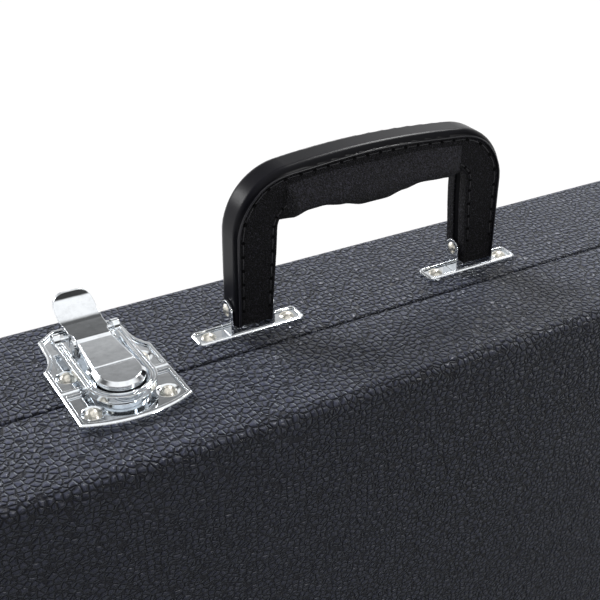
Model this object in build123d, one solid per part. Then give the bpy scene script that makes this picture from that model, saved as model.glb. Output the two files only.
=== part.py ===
from build123d import *
import os
from math import atan, degrees

# Hard case for an electric guitar, standing on its hinge side with the carry handle up.
# X runs along the case, the lid faces -Y, the tray is on +Y, and Z is up. The origin is under the
# middle of the case, on the surface that the feet stand on. All sizes are in millimetres.

# Case walls
CASE_LENGTH = 1024
CASE_HEIGHT = 376
TRAY_DEPTH = 70.6
LID_DEPTH = 54.8
CORNER_RADIUS = 20
EDGE_RADIUS = 7
COVERING = 1.0
SIDE_WALL = 8
PANEL = 5
LINING = 1.5
LINING_EDGE_RADIUS = 3
SEAM_GAP = 0.5
SEAM_EDGE_RADIUS = 1.4

# Feet
FOOT_HEIGHT = 12
FOOT_TOP_RADIUS = 11
FOOT_BOTTOM_RADIUS = 9
FOOT_FROM_END = 112
TRAY_FOOT_SETBACK = 46
LID_FOOT_SETBACK = 33
FOOT_SCREW_HEAD_RADIUS = 4
FOOT_SCREW_HEAD = 2.5
FOOT_SCREW_RADIUS = 2
FOOT_SCREW_BITE = 6

# Hinges on the seam of the lower side
HINGE_FROM_END = 172
HINGE_LENGTH = 60
HINGE_LEAF_WIDTH = 22
HINGE_LEAF = 1.2
KNUCKLE_RADIUS = 3.2
KNUCKLE_COUNT = 5
KNUCKLE_GAP = 0.3
HINGE_PIN_RADIUS = 1.6
HINGE_RIVET_X = 20
HINGE_RIVET_RADIUS = 3

# Shaped padding and the inside of the tray
PAD_DROP = 6
END_PAD = 15
LOWER_BOUT_RADIUS = 165
UPPER_BOUT_RADIUS = 140
BOUT_SPACING = 145
WAIST_RADIUS = 60
SURROUND_LENGTH = 495
NECK_CHANNEL = 90
NECK_REST_FROM_END = 212
NECK_REST_THICKNESS = 42
NECK_REST_HEIGHT = 50
NECK_REST_CHANNEL = 66
NECK_REST_FLOOR = 22
COMPARTMENT_TO_REST = 45.5
COMPARTMENT_WALL = 6
COMPARTMENT_HEIGHT = 50
LID_PAD = 22
LID_PAD_EDGE_RADIUS = 9
LID_PAD_CLEARANCE = 2

# Carry handle
HANDLE_X = -50
HANDLE_SETBACK = 17
HANDLE_PIVOT_HEIGHT = 13.3
HANDLE_PITCH = 128.7
HANDLE_LEG_WIDTH = 19.3
HANDLE_LEG_BOTTOM = 7
HANDLE_LEG_WIDENING = 3
HANDLE_HEIGHT = 83.2
HANDLE_SHOULDER = 76.4
HANDLE_CORNER_RADIUS = 30
HANDLE_INNER_TOP = 62.5
HANDLE_INNER_SHOULDER = 61.5
HANDLE_INNER_RADIUS = 10
BAND_THICKNESS = 2.8
BAND_LEG_THICKNESS = 1.5
BAND_WIDTH = 16.2
BAND_EDGE_RADIUS = 3.8
LEATHER_WIDTH = 14.8
GRIP_LEFT = 49
GRIP_RIGHT = 46
GRIP_WIDTH = 22
GRIP_FINGER_WAVES = ((-30, 59.8), (-8, 56), (24, 58.2))
GRIP_END_HEIGHT = 58
GRIP_EDGE_RADIUS = 7

# Handle brackets
BRACKET_LENGTH = 55
BRACKET_WIDTH = 11.8
BRACKET_RIM = 2.4
BRACKET_FLOOR = 1.4
BRACKET_RIM_WIDTH = 1.3
BRACKET_CORNER = 2.5
BRACKET_WINDOW_WIDTH = 7.6
TAB_THICKNESS = 1.2
TAB_RADIUS = 4.7
TAB_BASE_HALF = 5.5
TAB_CLEARANCE = 0.5
HANDLE_PIN_RADIUS = 2
HANDLE_PIN_HEAD_RADIUS = 3
HANDLE_PIN_HEAD = 1.2
BRACKET_RIVET_PITCH = 41
BRACKET_RIVET_RADIUS = 3.6
RIVET_DOME = 1.8

# Draw latches
INNER_LATCH_X = 186
OUTER_LATCH_FROM_END = 112
LATCH_HALF_WIDTH = 25
LATCH_SPLIT = 2.0
LATCH_SPLIT_GAP = 0.6
LATCH_PLATE_HEIGHT = 4.0
LATCH_PLATE_FLOOR = 2.8
LATCH_SHEET = 1.2
LATCH_RIM_WIDTH = 2.0
CATCH_SIDE_END = 22
CATCH_BOW_END = 27.6
PLATE_SHOULDER = 22.7
PLATE_WAIST_HALF = 20
PLATE_WAIST = 35
PLATE_TOP_HALF = 19.4
PLATE_TOP_CORNER = 47.5
PLATE_END_HALF = 11
PLATE_END = 54
BRIDGE_HEIGHT = 12.4
BRIDGE_HALF = 10
BRIDGE_REAR_HALF = 8
BRIDGE_TAPER = 1.3
BRIDGE_EDGE = 0.8
CREASE_EDGE = 0.5
CATCH_EDGE = 1.5
LEVER_PIVOT_Y = 27.6
LEVER_PIVOT_Z = 9.6
LEVER_KNUCKLE_RADIUS = 2.8
LEVER_PIN_RADIUS = 1.2
LEVER_FRONT_HALF = 8
LEVER_REAR_HALF = 9.25
LEVER_SHOULDER = 40
LEVER_WIDENING = 2.5
LEVER_SHEET = 1.2
LEVER_FLANGE_BOTTOM = 5.2
CURL_HALF = 9.6
CURL_TOP = 21.8
CURL_CORNER = 6.5
CURL_RUN = 8
CURL_RUN_RISE = 1.4
CURL_TIP_Y = 54.6
EAR_THICKNESS = 1.4
BAIL_PIVOT_Y = 37
BAIL_PIVOT_Z = 8.2
BAIL_HALF_WIDTH = 15.5
BAIL_END = 19.4
BAIL_STRIP = 3.2
BAIL_BOTTOM = 6.0
BAIL_TOP = 9.0
BAIL_EYE_RADIUS = 3.4
BAIL_PEG_RADIUS = 1.3
BAIL_GROOVE = 1.0
BAIL_GROOVE_DEPTH = 0.8
BAIL_END_CLEARANCE = 0.3
LATCH_RIVET_RADIUS = 3.7
TRAY_RIVET = (17, 15.4)
LID_RIVET = (16.7, -14.6)

# Clearances
RUNNING_FIT = 0.05
MOVING_GAP = 0.3

# Places worked out from the sizes above
SEAM_Y = (LID_DEPTH - TRAY_DEPTH) / 2
TRAY_FACE_Y = SEAM_Y + TRAY_DEPTH
LID_FACE_Y = SEAM_Y - LID_DEPTH
BOTTOM_Z = FOOT_HEIGHT
TOP_Z = BOTTOM_Z + CASE_HEIGHT
MIDDLE_Z = BOTTOM_Z + CASE_HEIGHT / 2
WALL = COVERING + SIDE_WALL
INSIDE = WALL + LINING
INSIDE_LENGTH = CASE_LENGTH - 2 * INSIDE
INSIDE_HEIGHT = CASE_HEIGHT - 2 * INSIDE
TRAY_FLOOR_Y = TRAY_FACE_Y - COVERING - PANEL - LINING
LID_FLOOR_Y = LID_FACE_Y + COVERING + PANEL + LINING
BAIL_ARC_Y = BAIL_HALF_WIDTH - BAIL_END
OUTER_LATCH_X = CASE_LENGTH / 2 - OUTER_LATCH_FROM_END
LATCH_X = (-OUTER_LATCH_X, -INNER_LATCH_X, INNER_LATCH_X, OUTER_LATCH_X)
FOOT_X = CASE_LENGTH / 2 - FOOT_FROM_END
OUTER_HINGE_X = CASE_LENGTH / 2 - HINGE_FROM_END
HINGE_X = (-OUTER_HINGE_X, 0, OUTER_HINGE_X)
NECK_REST_X = CASE_LENGTH / 2 - NECK_REST_FROM_END

nodes = {}


# Shared helpers
def slab(sketch, y_from, y_to):
    """Extrude an outline drawn in X and Z from one depth to another."""
    plane = Plane(origin=(0, y_from, 0), x_dir=(1, 0, 0), z_dir=(0, -1, 0))
    return extrude(plane * sketch, amount=y_from - y_to)


def rounded_half(y_from, y_to, inset, edge_radius):
    """One half of the case as a solid block, rounded at its corners and round its far face."""
    corner = max(CORNER_RADIUS - inset, edge_radius + 0.5)
    outline = RectangleRounded(CASE_LENGTH - 2 * inset, CASE_HEIGHT - 2 * inset, corner)
    block = slab(Pos(0, MIDDLE_Z) * outline, y_from, y_to)
    far_face = block.faces().sort_by(Axis.Y)[-1 if y_to > y_from else 0]
    return fillet(far_face.edges(), edge_radius)


def rod(radius, x_from, x_to, y, z):
    """A round bar along X."""
    return Pos((x_from + x_to) / 2, y, z) * Rot(0, 90, 0) * Cylinder(radius, x_to - x_from)


def block(x_from, x_to, y_from, y_to, z_from, z_to):
    """A box between two corners."""
    size = Box(x_to - x_from, y_to - y_from, z_to - z_from)
    return Pos((x_from + x_to) / 2, (y_from + y_to) / 2, (z_from + z_to) / 2) * size


def dome(radius, rise):
    """A domed rivet head that stands on Z = 0."""
    ball_radius = (radius**2 + rise**2) / (2 * rise)
    ball = Pos(0, 0, rise - ball_radius) * Sphere(ball_radius)
    return ball & Pos(0, 0, rise / 2) * Box(3 * radius, 3 * radius, rise)


# Case halves
def case_half(side, face_y, name):
    """Plywood, covering and lining of one half; side is 1 for the tray and -1 for the lid."""
    rim_y = SEAM_Y + side * SEAM_GAP / 2
    outer = rounded_half(rim_y, face_y, 0, EDGE_RADIUS)
    rim_edges = outer.faces().sort_by(Axis.Y)[0 if side > 0 else -1].edges()
    outer = fillet(rim_edges, SEAM_EDGE_RADIUS)
    board = rounded_half(rim_y + side * COVERING, face_y - side * COVERING, COVERING,
                         EDGE_RADIUS - COVERING)
    hollow_y = face_y - side * (COVERING + PANEL)
    hollow = rounded_half(rim_y, hollow_y, WALL, LINING_EDGE_RADIUS)
    space = rounded_half(rim_y, hollow_y - side * LINING, INSIDE, LINING_EDGE_RADIUS - LINING)
    nodes[name + "_covering"] = outer - board - hollow
    nodes[name + "_shell"] = board - hollow
    nodes[name + "_lining"] = hollow - space


def feet(side, setback, name):
    """Two rubber feet under one half, with the screws that hold them and their holes."""
    y = SEAM_Y + side * setback
    screws = []
    for label, x in (("left", -FOOT_X), ("right", FOOT_X)):
        cone = Pos(x, y, FOOT_HEIGHT / 2) * Cone(FOOT_BOTTOM_RADIUS, FOOT_TOP_RADIUS, FOOT_HEIGHT)
        recess = Pos(x, y, FOOT_SCREW_HEAD) * Cylinder(FOOT_SCREW_HEAD_RADIUS, 2 * FOOT_SCREW_HEAD)
        hole = Pos(x, y, FOOT_HEIGHT / 2) * Cylinder(FOOT_SCREW_RADIUS, FOOT_HEIGHT)
        nodes[name + "_foot_" + label] = cone - recess - hole
        head = Pos(x, y, 1.5 * FOOT_SCREW_HEAD) * Cylinder(FOOT_SCREW_HEAD_RADIUS, FOOT_SCREW_HEAD)
        shank_top = BOTTOM_Z + FOOT_SCREW_BITE
        shank = Pos(x, y, (FOOT_SCREW_HEAD + shank_top) / 2) * Cylinder(
            FOOT_SCREW_RADIUS, shank_top - FOOT_SCREW_HEAD
        )
        screws.append(head + shank)
        nodes[name + "_covering"] -= shank
        nodes[name + "_shell"] -= shank
    nodes[name + "_foot_screws"] = screws


# Hinges
def hinge_leaf(x, side):
    """One leaf with its knuckles; the tray has the odd knuckles and the lid the even ones."""
    axis_z = BOTTOM_Z - KNUCKLE_RADIUS - MOVING_GAP
    reach = KNUCKLE_RADIUS + MOVING_GAP
    near, far = sorted((SEAM_Y + side * reach, SEAM_Y + side * HINGE_LEAF_WIDTH))
    half = HINGE_LENGTH / 2
    leaf = block(x - half, x + half, near, far, BOTTOM_Z - HINGE_LEAF, BOTTOM_Z)
    pitch = HINGE_LENGTH / KNUCKLE_COUNT
    for index in range(0 if side > 0 else 1, KNUCKLE_COUNT, 2):
        start = x - half + index * pitch + KNUCKLE_GAP / 2
        end = start + pitch - KNUCKLE_GAP
        leaf += rod(KNUCKLE_RADIUS, start, end, SEAM_Y, axis_z)
        inner, outer = sorted((SEAM_Y, SEAM_Y + side * (reach + HINGE_LEAF)))
        neck_top = axis_z + KNUCKLE_RADIUS
        leaf += block(start, end, inner, outer, BOTTOM_Z - HINGE_LEAF - MOVING_GAP, neck_top)
    return leaf - rod(HINGE_PIN_RADIUS + RUNNING_FIT, x - half, x + half, SEAM_Y, axis_z)


def hinges():
    """Three hinges, their pins and the rivets of their leaves."""
    tray_rivets = []
    lid_rivets = []
    for number, x in enumerate(HINGE_X, start=1):
        nodes[f"hinge_leaf_tray_{number}"] = hinge_leaf(x, 1)
        nodes[f"hinge_leaf_lid_{number}"] = hinge_leaf(x, -1)
        half = HINGE_LENGTH / 2
        axis_z = BOTTOM_Z - KNUCKLE_RADIUS - MOVING_GAP
        nodes[f"hinge_pin_{number}"] = rod(HINGE_PIN_RADIUS, x - half, x + half, SEAM_Y, axis_z)
        rivet_y = (KNUCKLE_RADIUS + MOVING_GAP + HINGE_LEAF_WIDTH) / 2 + 1
        for offset in (-HINGE_RIVET_X, HINGE_RIVET_X):
            for side, rivets in ((1, tray_rivets), (-1, lid_rivets)):
                head = Rot(180, 0, 0) * dome(HINGE_RIVET_RADIUS, RIVET_DOME * 0.7)
                place = Pos(x + offset, SEAM_Y + side * rivet_y, BOTTOM_Z - HINGE_LEAF)
                rivets.append(place * head)
    nodes["hinge_rivets_tray"] = tray_rivets
    nodes["hinge_rivets_lid"] = lid_rivets


# Inside of the tray and lid
def body_outline():
    """The space for the guitar's body: two overlapping bouts with a rounded waist."""
    lower_x = -INSIDE_LENGTH / 2 + END_PAD + LOWER_BOUT_RADIUS
    lower = Pos(lower_x, MIDDLE_Z) * Circle(LOWER_BOUT_RADIUS)
    upper = Pos(lower_x + BOUT_SPACING, MIDDLE_Z) * Circle(UPPER_BOUT_RADIUS)
    outline = lower + upper
    corners = [vertex for vertex in outline.vertices() if vertex.X > lower_x + BOUT_SPACING / 3]
    waist = [vertex for vertex in corners if vertex.X < lower_x + BOUT_SPACING]
    return fillet(waist, WAIST_RADIUS)


def body_surrounds():
    """Two shaped pads, above and below the neck's axis, that hold the guitar's body."""
    x_from = -INSIDE_LENGTH / 2
    x_to = x_from + SURROUND_LENGTH
    front_y = SEAM_Y + PAD_DROP
    middle_x = (x_from + x_to) / 2
    whole = Pos(middle_x, MIDDLE_Z) * Rectangle(SURROUND_LENGTH, INSIDE_HEIGHT)
    channel = Pos(x_to - SURROUND_LENGTH / 4, MIDDLE_Z) * Rectangle(SURROUND_LENGTH / 2, NECK_CHANNEL)
    shape = whole - body_outline() - channel
    for name, sign in (("body_surround_top", 1), ("body_surround_bottom", -1)):
        half_plane = Pos(middle_x, MIDDLE_Z + sign * INSIDE_HEIGHT / 2) * Rectangle(
            SURROUND_LENGTH + 10, INSIDE_HEIGHT
        )
        pad = slab(shape & half_plane, TRAY_FLOOR_Y, front_y)
        corner_cut = rounded_half(SEAM_Y, TRAY_FLOOR_Y, INSIDE, LINING_EDGE_RADIUS - LINING)
        nodes[name] = pad & corner_cut


def neck_rest():
    """A padded block across the tray with a channel for the neck."""
    front_y = TRAY_FLOOR_Y - NECK_REST_HEIGHT
    outline = Pos(NECK_REST_X, MIDDLE_Z) * Rectangle(NECK_REST_THICKNESS, INSIDE_HEIGHT)
    rest = slab(outline, TRAY_FLOOR_Y, front_y)
    groove = Pos(NECK_REST_X, MIDDLE_Z) * Rectangle(2 * NECK_REST_THICKNESS, NECK_REST_CHANNEL)
    rest -= slab(groove, TRAY_FLOOR_Y - NECK_REST_FLOOR, front_y - 1)
    space = rounded_half(SEAM_Y, TRAY_FLOOR_Y, INSIDE, LINING_EDGE_RADIUS - LINING)
    nodes["neck_rest"] = rest & space


def compartment():
    """The open accessory box beside the neck, below it when the case stands."""
    left_x = -INSIDE_LENGTH / 2 + SURROUND_LENGTH
    right_x = NECK_REST_X - NECK_REST_THICKNESS / 2 - COMPARTMENT_TO_REST
    wall_z = MIDDLE_Z - NECK_CHANNEL / 2
    floor_z = BOTTOM_Z + INSIDE
    front_y = TRAY_FLOOR_Y - COMPARTMENT_HEIGHT
    thickness = COMPARTMENT_WALL
    nodes["compartment_wall_inner"] = block(
        left_x, right_x, front_y, TRAY_FLOOR_Y, wall_z - thickness, wall_z
    )
    nodes["compartment_wall_left"] = block(
        left_x, left_x + thickness, front_y, TRAY_FLOOR_Y, floor_z, wall_z - thickness
    )
    nodes["compartment_wall_right"] = block(
        right_x - thickness, right_x, front_y, TRAY_FLOOR_Y, floor_z, wall_z - thickness
    )
    space = rounded_half(SEAM_Y, TRAY_FLOOR_Y, INSIDE, LINING_EDGE_RADIUS - LINING)
    for side in ("left", "right"):
        nodes["compartment_wall_" + side] &= space


def lid_pad():
    """The foam pad that presses on the guitar when the lid is shut."""
    outline = Pos(0, MIDDLE_Z) * RectangleRounded(
        INSIDE_LENGTH - 2 * LID_PAD_CLEARANCE,
        INSIDE_HEIGHT - 2 * LID_PAD_CLEARANCE,
        CORNER_RADIUS - LID_PAD_CLEARANCE,
    )
    pad = slab(outline, LID_FLOOR_Y, LID_FLOOR_Y + LID_PAD)
    nodes["lid_pad"] = fillet(pad.faces().sort_by(Axis.Y)[-1].edges(), LID_PAD_EDGE_RADIUS)


# Carry handle
def arch(half_foot, half_top, top, shoulder, corner_radius):
    """An arch outline in X and Z, measured from the top of the case, with rounded corners."""
    left = (-half_top, shoulder)
    right = (half_top, shoulder)
    edges = Curve() + [
        Line((-half_foot, HANDLE_LEG_BOTTOM), left),
        ThreePointArc(left, (0, top), right),
        Line(right, (half_foot, HANDLE_LEG_BOTTOM)),
        Line((half_foot, HANDLE_LEG_BOTTOM), (-half_foot, HANDLE_LEG_BOTTOM)),
    ]
    outline = make_face(edges)
    corners = outline.vertices().sort_by(Axis.Y)[-2:]
    return fillet(corners, corner_radius)


def handle():
    """Band, leather and padded grip of the handle, upright on its two pivot pins."""
    half_pitch = HANDLE_PITCH / 2
    outer_half = half_pitch + HANDLE_LEG_WIDTH / 2
    inner_half = half_pitch - HANDLE_LEG_WIDTH / 2
    outer = arch(outer_half, outer_half, HANDLE_HEIGHT, HANDLE_SHOULDER, HANDLE_CORNER_RADIUS)
    middle = arch(
        outer_half - BAND_LEG_THICKNESS,
        outer_half - BAND_LEG_THICKNESS,
        HANDLE_HEIGHT - BAND_THICKNESS,
        HANDLE_SHOULDER - BAND_THICKNESS,
        HANDLE_CORNER_RADIUS - BAND_LEG_THICKNESS,
    )
    lean = HANDLE_LEG_WIDENING / (HANDLE_INNER_SHOULDER - HANDLE_LEG_BOTTOM)
    inner_foot = inner_half + lean * (HANDLE_PIVOT_HEIGHT - HANDLE_LEG_BOTTOM)
    inner = arch(
        inner_foot,
        inner_foot - HANDLE_LEG_WIDENING,
        HANDLE_INNER_TOP,
        HANDLE_INNER_SHOULDER,
        HANDLE_INNER_RADIUS,
    )
    place = Pos(HANDLE_X, SEAM_Y + HANDLE_SETBACK, TOP_Z)

    band = slab(outer, BAND_WIDTH / 2, -BAND_WIDTH / 2)
    rims = [face.outer_wire().edges() for face in (band.faces().sort_by(Axis.Y)[0],
                                                   band.faces().sort_by(Axis.Y)[-1])]
    round_edges = [edge for rim in rims for edge in rim if edge.center().Z > HANDLE_LEG_BOTTOM + 1]
    band = fillet(round_edges, BAND_EDGE_RADIUS)
    band -= slab(middle, BAND_WIDTH, -BAND_WIDTH)

    leather = slab(middle, LEATHER_WIDTH / 2, -LEATHER_WIDTH / 2)
    leather -= slab(inner, LEATHER_WIDTH, -LEATHER_WIDTH)

    grip_top = HANDLE_HEIGHT - BAND_THICKNESS
    start = (-GRIP_LEFT, GRIP_END_HEIGHT)
    end = (GRIP_RIGHT, GRIP_END_HEIGHT)
    grip_outline = make_face(Curve() + [
        Spline(start, *GRIP_FINGER_WAVES, end),
        Line(end, (GRIP_RIGHT, grip_top)),
        Line((GRIP_RIGHT, grip_top), (-GRIP_LEFT, grip_top)),
        Line((-GRIP_LEFT, grip_top), start),
    ])
    grip = slab(grip_outline, GRIP_WIDTH / 2, -GRIP_WIDTH / 2)
    long_edges = [edge for edge in grip.edges() if edge.bounding_box().size.X > GRIP_RIGHT]
    grip = fillet(long_edges, GRIP_EDGE_RADIUS)
    grip = grip - band - leather

    bore = HANDLE_PIN_RADIUS + RUNNING_FIT
    for side in (-1, 1):
        hole = rod(
            bore, side * half_pitch - HANDLE_LEG_WIDTH, side * half_pitch + HANDLE_LEG_WIDTH,
            0, HANDLE_PIVOT_HEIGHT,
        )
        band -= hole
        leather -= hole
    nodes["handle_band"] = place * band
    nodes["handle_leather"] = place * leather
    nodes["handle_grip"] = place * grip


def handle_brackets():
    """Bracket plates with upright tabs, their rivets and the handle's pivot pins."""
    rivets = []
    pins = []
    tab_inner = HANDLE_LEG_WIDTH / 2 + TAB_CLEARANCE
    tab_outer = tab_inner + TAB_THICKNESS
    for label, side in (("left", -1), ("right", 1)):
        place = Pos(HANDLE_X + side * HANDLE_PITCH / 2, SEAM_Y + HANDLE_SETBACK, TOP_Z)
        plate = extrude(
            RectangleRounded(BRACKET_LENGTH, BRACKET_WIDTH, BRACKET_CORNER), amount=BRACKET_RIM
        )
        plate = chamfer(plate.faces().sort_by(Axis.Z)[-1].edges(), BRACKET_RIM_WIDTH / 2)
        floor = RectangleRounded(
            BRACKET_LENGTH - 2 * BRACKET_RIM_WIDTH,
            BRACKET_WIDTH - 2 * BRACKET_RIM_WIDTH,
            BRACKET_CORNER - BRACKET_RIM_WIDTH / 2,
        )
        plate -= Pos(0, 0, BRACKET_FLOOR) * extrude(floor, amount=BRACKET_RIM)
        window = Box(2 * tab_inner, BRACKET_WINDOW_WIDTH, 4 * BRACKET_RIM)
        tab_outline = Polygon(
            (-TAB_BASE_HALF, BRACKET_FLOOR / 2),
            (TAB_BASE_HALF, BRACKET_FLOOR / 2),
            (TAB_RADIUS, HANDLE_PIVOT_HEIGHT),
            (-TAB_RADIUS, HANDLE_PIVOT_HEIGHT),
            align=None,
        )
        for end in (-1, 1):
            x_inner, x_outer = sorted((end * tab_inner, end * tab_outer))
            tab = rod(TAB_RADIUS, x_inner, x_outer, 0, HANDLE_PIVOT_HEIGHT)
            tab += extrude(
                Plane(origin=(x_inner, 0, 0), x_dir=(0, 1, 0), z_dir=(1, 0, 0)) * tab_outline,
                amount=TAB_THICKNESS,
            )
            plate += tab
            head = Pos(end * BRACKET_RIVET_PITCH / 2, 0, BRACKET_FLOOR) * dome(
                BRACKET_RIVET_RADIUS, RIVET_DOME
            )
            rivets.append(place * head)
        plate -= window
        plate -= rod(
            HANDLE_PIN_RADIUS + RUNNING_FIT, -tab_outer - 1, tab_outer + 1, 0, HANDLE_PIVOT_HEIGHT
        )
        nodes["handle_bracket_" + label] = place * plate
        pin = rod(HANDLE_PIN_RADIUS, -tab_outer, tab_outer, 0, HANDLE_PIVOT_HEIGHT)
        for end in (-1, 1):
            head = Rot(0, end * 90, 0) * dome(HANDLE_PIN_HEAD_RADIUS, HANDLE_PIN_HEAD)
            pin += Pos(end * tab_outer, 0, HANDLE_PIVOT_HEIGHT) * head
        pins.append(place * pin)
    nodes["bracket_rivets"] = rivets
    nodes["handle_pivot_pins"] = pins


# Draw latches
def stamped_plate(outline):
    """A stamped plate: hollow below, with a raised rim round a lower floor."""
    plate = extrude(outline, amount=LATCH_PLATE_HEIGHT)
    plate = chamfer(plate.faces().sort_by(Axis.Z)[-1].edges(), LATCH_RIM_WIDTH / 3)
    inner = offset(outline, amount=-LATCH_RIM_WIDTH)
    plate -= Pos(0, 0, LATCH_PLATE_FLOOR) * extrude(inner, amount=LATCH_PLATE_HEIGHT)
    below = offset(outline, amount=-LATCH_SHEET)
    plate -= extrude(below, amount=LATCH_PLATE_FLOOR - LATCH_SHEET)
    return plate


def tapered_boss(outline, edge):
    """A boss raised from a plate's floor, narrowing upwards, with a bevelled top."""
    rise = BRIDGE_HEIGHT - LATCH_PLATE_FLOOR
    slope = degrees(atan(BRIDGE_TAPER / rise))
    boss = extrude(outline, amount=rise, taper=slope)
    boss = chamfer(boss.faces().sort_by(Axis.Z)[-1].edges(), edge)
    return Pos(0, 0, LATCH_PLATE_FLOOR) * boss


def bevel_crease(boss, y):
    """Bevel the top edge of a boss where the next piece of the latch begins."""
    top = boss.faces().sort_by(Axis.Z)[-1]
    return chamfer([edge for edge in top.edges() if abs(edge.center().Y - y) < 0.1], CREASE_EDGE)


def rivet_seats(spot):
    """Shallow dished seats for the two rivets of a plate."""
    x, y = spot
    rim = LATCH_RIVET_RADIUS + 1.4
    seat = Pos(0, 0, LATCH_PLATE_FLOOR - LATCH_SHEET / 4) * Cone(
        LATCH_RIVET_RADIUS, rim, LATCH_SHEET / 2
    )
    return Pos(x, y, 0) * seat + Pos(-x, y, 0) * seat


def catch_plate():
    """The lid's half of a latch: plate with the raised boss that the bail hooks round."""
    split = LATCH_SPLIT - LATCH_SPLIT_GAP / 2
    half = LATCH_HALF_WIDTH
    outline = make_face(Curve() + [
        Line((half, split), (-half, split)),
        Line((-half, split), (-half, -CATCH_SIDE_END)),
        ThreePointArc((-half, -CATCH_SIDE_END), (0, -CATCH_BOW_END), (half, -CATCH_SIDE_END)),
        Line((half, -CATCH_SIDE_END), (half, split)),
    ])
    plate = stamped_plate(outline)
    plate -= block(-2 * half, 2 * half, 0, 2 * LATCH_SPLIT, -1, MOVING_GAP)
    foot_radius = BAIL_HALF_WIDTH - BAIL_STRIP - BAIL_END_CLEARANCE
    overhang = LATCH_SPLIT + 2 * BRIDGE_TAPER
    foot = Pos(0, BAIL_ARC_Y) * Circle(foot_radius) + Pos(0, (BAIL_ARC_Y + overhang) / 2) * (
        Rectangle(2 * foot_radius, overhang - BAIL_ARC_Y)
    )
    boss = tapered_boss(foot, CATCH_EDGE)
    boss -= block(-half, half, split, half, 0, 2 * BRIDGE_HEIGHT)
    boss = bevel_crease(boss, split)
    inside = Pos(0, BAIL_ARC_Y - LATCH_SHEET, 0) * Box(
        BRIDGE_HALF, 2 * (split - BAIL_ARC_Y), 2 * (BRIDGE_HEIGHT - 2 * LATCH_SHEET)
    )
    return plate + boss - inside - rivet_seats(LID_RIVET)


def latch_base():
    """The tray's half of a latch: plate, bridge and the two ears of the lever's pivot."""
    split = LATCH_SPLIT + LATCH_SPLIT_GAP / 2
    half = LATCH_HALF_WIDTH
    sides = []
    for side in (1, -1):
        sides += [
            Line((side * half, split), (side * half, PLATE_SHOULDER)),
            ThreePointArc(
                (side * half, PLATE_SHOULDER),
                (side * (PLATE_WAIST_HALF + 1), (PLATE_SHOULDER + PLATE_WAIST) / 2 + 1),
                (side * PLATE_WAIST_HALF, PLATE_WAIST),
            ),
            Line((side * PLATE_WAIST_HALF, PLATE_WAIST), (side * PLATE_TOP_HALF, PLATE_TOP_CORNER)),
            Line((side * PLATE_TOP_HALF, PLATE_TOP_CORNER), (side * PLATE_END_HALF, PLATE_END)),
        ]
    outline = make_face(Curve() + sides + [
        Line((half, split), (-half, split)),
        Line((PLATE_END_HALF, PLATE_END), (-PLATE_END_HALF, PLATE_END)),
    ])
    plate = stamped_plate(outline)
    rear = LEVER_PIVOT_Y - LEVER_KNUCKLE_RADIUS - MOVING_GAP
    lead = 2 * BRIDGE_TAPER
    foot = Polygon(
        (-BRIDGE_HALF - BRIDGE_TAPER, split - lead),
        (BRIDGE_HALF + BRIDGE_TAPER, split - lead),
        (BRIDGE_REAR_HALF + BRIDGE_TAPER, rear + lead),
        (-BRIDGE_REAR_HALF - BRIDGE_TAPER, rear + lead),
        align=None,
    )
    bridge = tapered_boss(foot, BRIDGE_EDGE)
    bridge &= block(-half, half, split, rear, 0, 2 * BRIDGE_HEIGHT)
    bridge = bevel_crease(bridge, split)
    bridge = bevel_crease(bridge, rear)
    bridge -= block(
        -BRIDGE_REAR_HALF + LATCH_SHEET, BRIDGE_REAR_HALF - LATCH_SHEET, -half, half,
        0, BRIDGE_HEIGHT - 2 * LATCH_SHEET,
    )
    plate += bridge
    ear_inner = LEVER_FRONT_HALF + MOVING_GAP
    for side in (-1, 1):
        x_inner, x_outer = sorted((side * ear_inner, side * (ear_inner + EAR_THICKNESS)))
        ear_radius = LEVER_KNUCKLE_RADIUS
        plate += rod(ear_radius, x_inner, x_outer, LEVER_PIVOT_Y, LEVER_PIVOT_Z)
        plate += block(
            x_inner, x_outer, LEVER_PIVOT_Y - ear_radius, LEVER_PIVOT_Y + ear_radius,
            LATCH_PLATE_FLOOR - LATCH_SHEET / 2, LEVER_PIVOT_Z,
        )
    ear_outer = ear_inner + EAR_THICKNESS
    plate -= rod(
        LEVER_PIN_RADIUS + RUNNING_FIT, -ear_outer, ear_outer, LEVER_PIVOT_Y, LEVER_PIVOT_Z
    )
    return plate - rivet_seats(TRAY_RIVET)


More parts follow.
